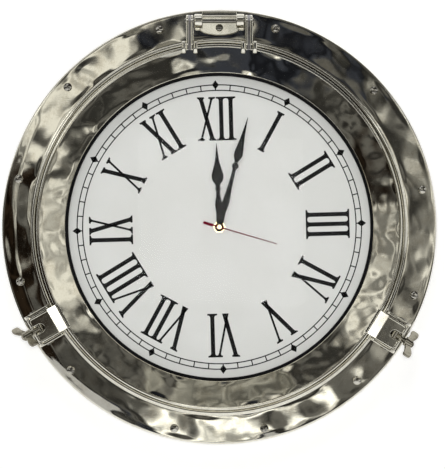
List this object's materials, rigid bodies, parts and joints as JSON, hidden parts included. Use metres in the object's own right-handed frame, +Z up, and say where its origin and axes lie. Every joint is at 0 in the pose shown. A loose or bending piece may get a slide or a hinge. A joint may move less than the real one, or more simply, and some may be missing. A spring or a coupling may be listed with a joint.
{
  "type": "porthole clock",
  "caption": "Round wall clock in a hinged porthole frame of polished metal, with a riveted flange, swing bolts with wing nuts and a quartz movement.",
  "frame": {"origin": "on the wall plane, directly behind the seat of the wall hook at the top of the hanger plate's keyhole slot", "axes": "+Z up, +Y into the wall, and the dial faces -Y, so +X is to the right of a person who reads the clock; the dial's centre is at z = -228 mm"},
  "size_m": [0.508, 0.0683, 0.508],
  "materials": {
    "nickel": "cast aluminium, hand-worked and plated with polished nickel",
    "nickel_dark": "plated, less polished, inside",
    "steel": "zinc plated",
    "brass": "bare brass",
    "rubber": "matt black",
    "glass": "clear float glass",
    "fibreboard": "bare fibreboard",
    "paper": "white printed card",
    "black_plastic": "fine spark texture",
    "white_plastic": "natural acetal",
    "cell_wrap": "printed film, plain",
    "circuit_green": "solder mask",
    "copper": "enamelled wire",
    "black_paint": "matt black",
    "red_paint": "satin crimson"
  },
  "bodies": {
    "case": {"base_ring": "nickel", "flange_rivet_01": "nickel", "flange_rivet_02": "nickel", "flange_rivet_03": "nickel", "flange_rivet_04": "nickel", "flange_rivet_05": "nickel", "flange_rivet_06": "nickel", "flange_rivet_07": "nickel", "flange_rivet_08": "nickel", "flange_rivet_09": "nickel", "flange_rivet_10": "nickel", "flange_rivet_11": "nickel", "flange_rivet_12": "nickel", "hinge_bracket": "nickel", "bracket_rivet": "nickel", "hinge_pin": "steel", "door_seal": "rubber", "dial_board": "fibreboard", "dial_face": "paper", "board_screw_1": "steel", "board_screw_2": "steel", "board_screw_3": "steel", "hanger_plate": "steel", "hanger_rivet_left": "steel", "hanger_rivet_right": "steel", "latch_pin_left": "steel", "latch_pin_right": "steel", "movement_case": "black_plastic", "movement_cover": "black_plastic", "bush_nut": "brass", "battery": "cell_wrap", "contact_positive": "brass", "contact_negative": "brass", "circuit_board": "circuit_green", "stator": "steel", "coil": "copper"},
    "door": {"door_ring": "nickel", "hinge_arm_left": "nickel", "hinge_arm_right": "nickel", "latch_fork_left": "nickel", "latch_fork_right": "nickel", "glass": "glass", "glass_gasket": "rubber", "glass_retainer": "nickel_dark"},
    "left_bolt": {"swing_bolt_left": "nickel"},
    "left_nut": {"wing_nut_left": "nickel"},
    "right_bolt": {"swing_bolt_right": "nickel"},
    "right_nut": {"wing_nut_right": "nickel"},
    "seconds": {"second_wheel": "white_plastic", "second_hand": "red_paint"},
    "fourth": {"fourth_wheel": "white_plastic"},
    "rotor": {"rotor": "steel"},
    "third": {"third_wheel": "white_plastic"},
    "centre": {"centre_wheel": "white_plastic"},
    "minutes": {"minute_shaft": "white_plastic", "minute_hand": "black_paint"},
    "motion": {"motion_wheel": "white_plastic"},
    "hours": {"hour_wheel": "white_plastic", "hour_hand": "black_paint"},
    "setting": {"setting_knob": "white_plastic"}
  },
  "joints": [
    {"name": "door_swing", "type": "hinge", "parent": "case", "child": "door", "pos_m": [0, -0.037, 0.0115], "axis": [-1, 0, 0], "range_deg": [0, 100]},
    {"name": "left_bolt_swing", "type": "hinge", "parent": "case", "child": "left_bolt", "pos_m": [-0.20714, -0.0395, -0.3452], "axis": [0.4924, 0, -0.8704], "range_deg": [-64, 28]},
    {"name": "left_nut_turn", "type": "hinge", "parent": "left_bolt", "child": "left_nut", "pos_m": [-0.20714, -0.0395, -0.3452], "axis": [-0.7823, -0.4384, -0.4426], "continuous": true},
    {"name": "right_bolt_swing", "type": "hinge", "parent": "case", "child": "right_bolt", "pos_m": [0.20293, -0.0395, -0.35235], "axis": [0.5225, 0, 0.8526], "range_deg": [-92, 3]},
    {"name": "right_nut_turn", "type": "hinge", "parent": "right_bolt", "child": "right_nut", "pos_m": [0.20293, -0.0395, -0.35235], "axis": [0.8521, 0.0349, -0.5222], "continuous": true},
    {"name": "second_turn", "type": "hinge", "parent": "case", "child": "seconds", "pos_m": [0, 0, -0.228], "axis": [0, 1, 0], "continuous": true},
    {"name": "fourth_turn", "type": "hinge", "parent": "case", "child": "fourth", "pos_m": [-0.01008, 0, -0.228], "axis": [0, 1, 0], "continuous": true},
    {"name": "rotor_turn", "type": "hinge", "parent": "case", "child": "rotor", "pos_m": [-0.01638, 0, -0.228], "axis": [0, 1, 0], "continuous": true},
    {"name": "third_turn", "type": "hinge", "parent": "case", "child": "third", "pos_m": [0.0102, 0, -0.228], "axis": [0, 1, 0], "continuous": true},
    {"name": "centre_turn", "type": "hinge", "parent": "case", "child": "centre", "pos_m": [0, 0, -0.228], "axis": [0, 1, 0], "continuous": true},
    {"name": "minute_turn", "type": "hinge", "parent": "case", "child": "minutes", "pos_m": [0, 0, -0.228], "axis": [0, 1, 0], "continuous": true},
    {"name": "motion_turn", "type": "hinge", "parent": "case", "child": "motion", "pos_m": [0, 0, -0.2205], "axis": [0, 1, 0], "continuous": true},
    {"name": "hour_turn", "type": "hinge", "parent": "case", "child": "hours", "pos_m": [0, 0, -0.228], "axis": [0, 1, 0], "continuous": true},
    {"name": "setting_turn", "type": "hinge", "parent": "case", "child": "setting", "pos_m": [0.00649, 0, -0.21675], "axis": [0, 1, 0], "continuous": true}
  ],
  "couplings": [
    {"joint": "fourth_turn", "follows": "second_turn", "ratio": -5},
    {"joint": "rotor_turn", "follows": "second_turn", "ratio": 30},
    {"joint": "third_turn", "follows": "second_turn", "ratio": -0.13333},
    {"joint": "centre_turn", "follows": "second_turn", "ratio": 0.016667},
    {"joint": "motion_turn", "follows": "minute_turn", "ratio": -0.33333},
    {"joint": "hour_turn", "follows": "minute_turn", "ratio": 0.083333},
    {"joint": "setting_turn", "follows": "minute_turn", "ratio": 1}
  ]
}
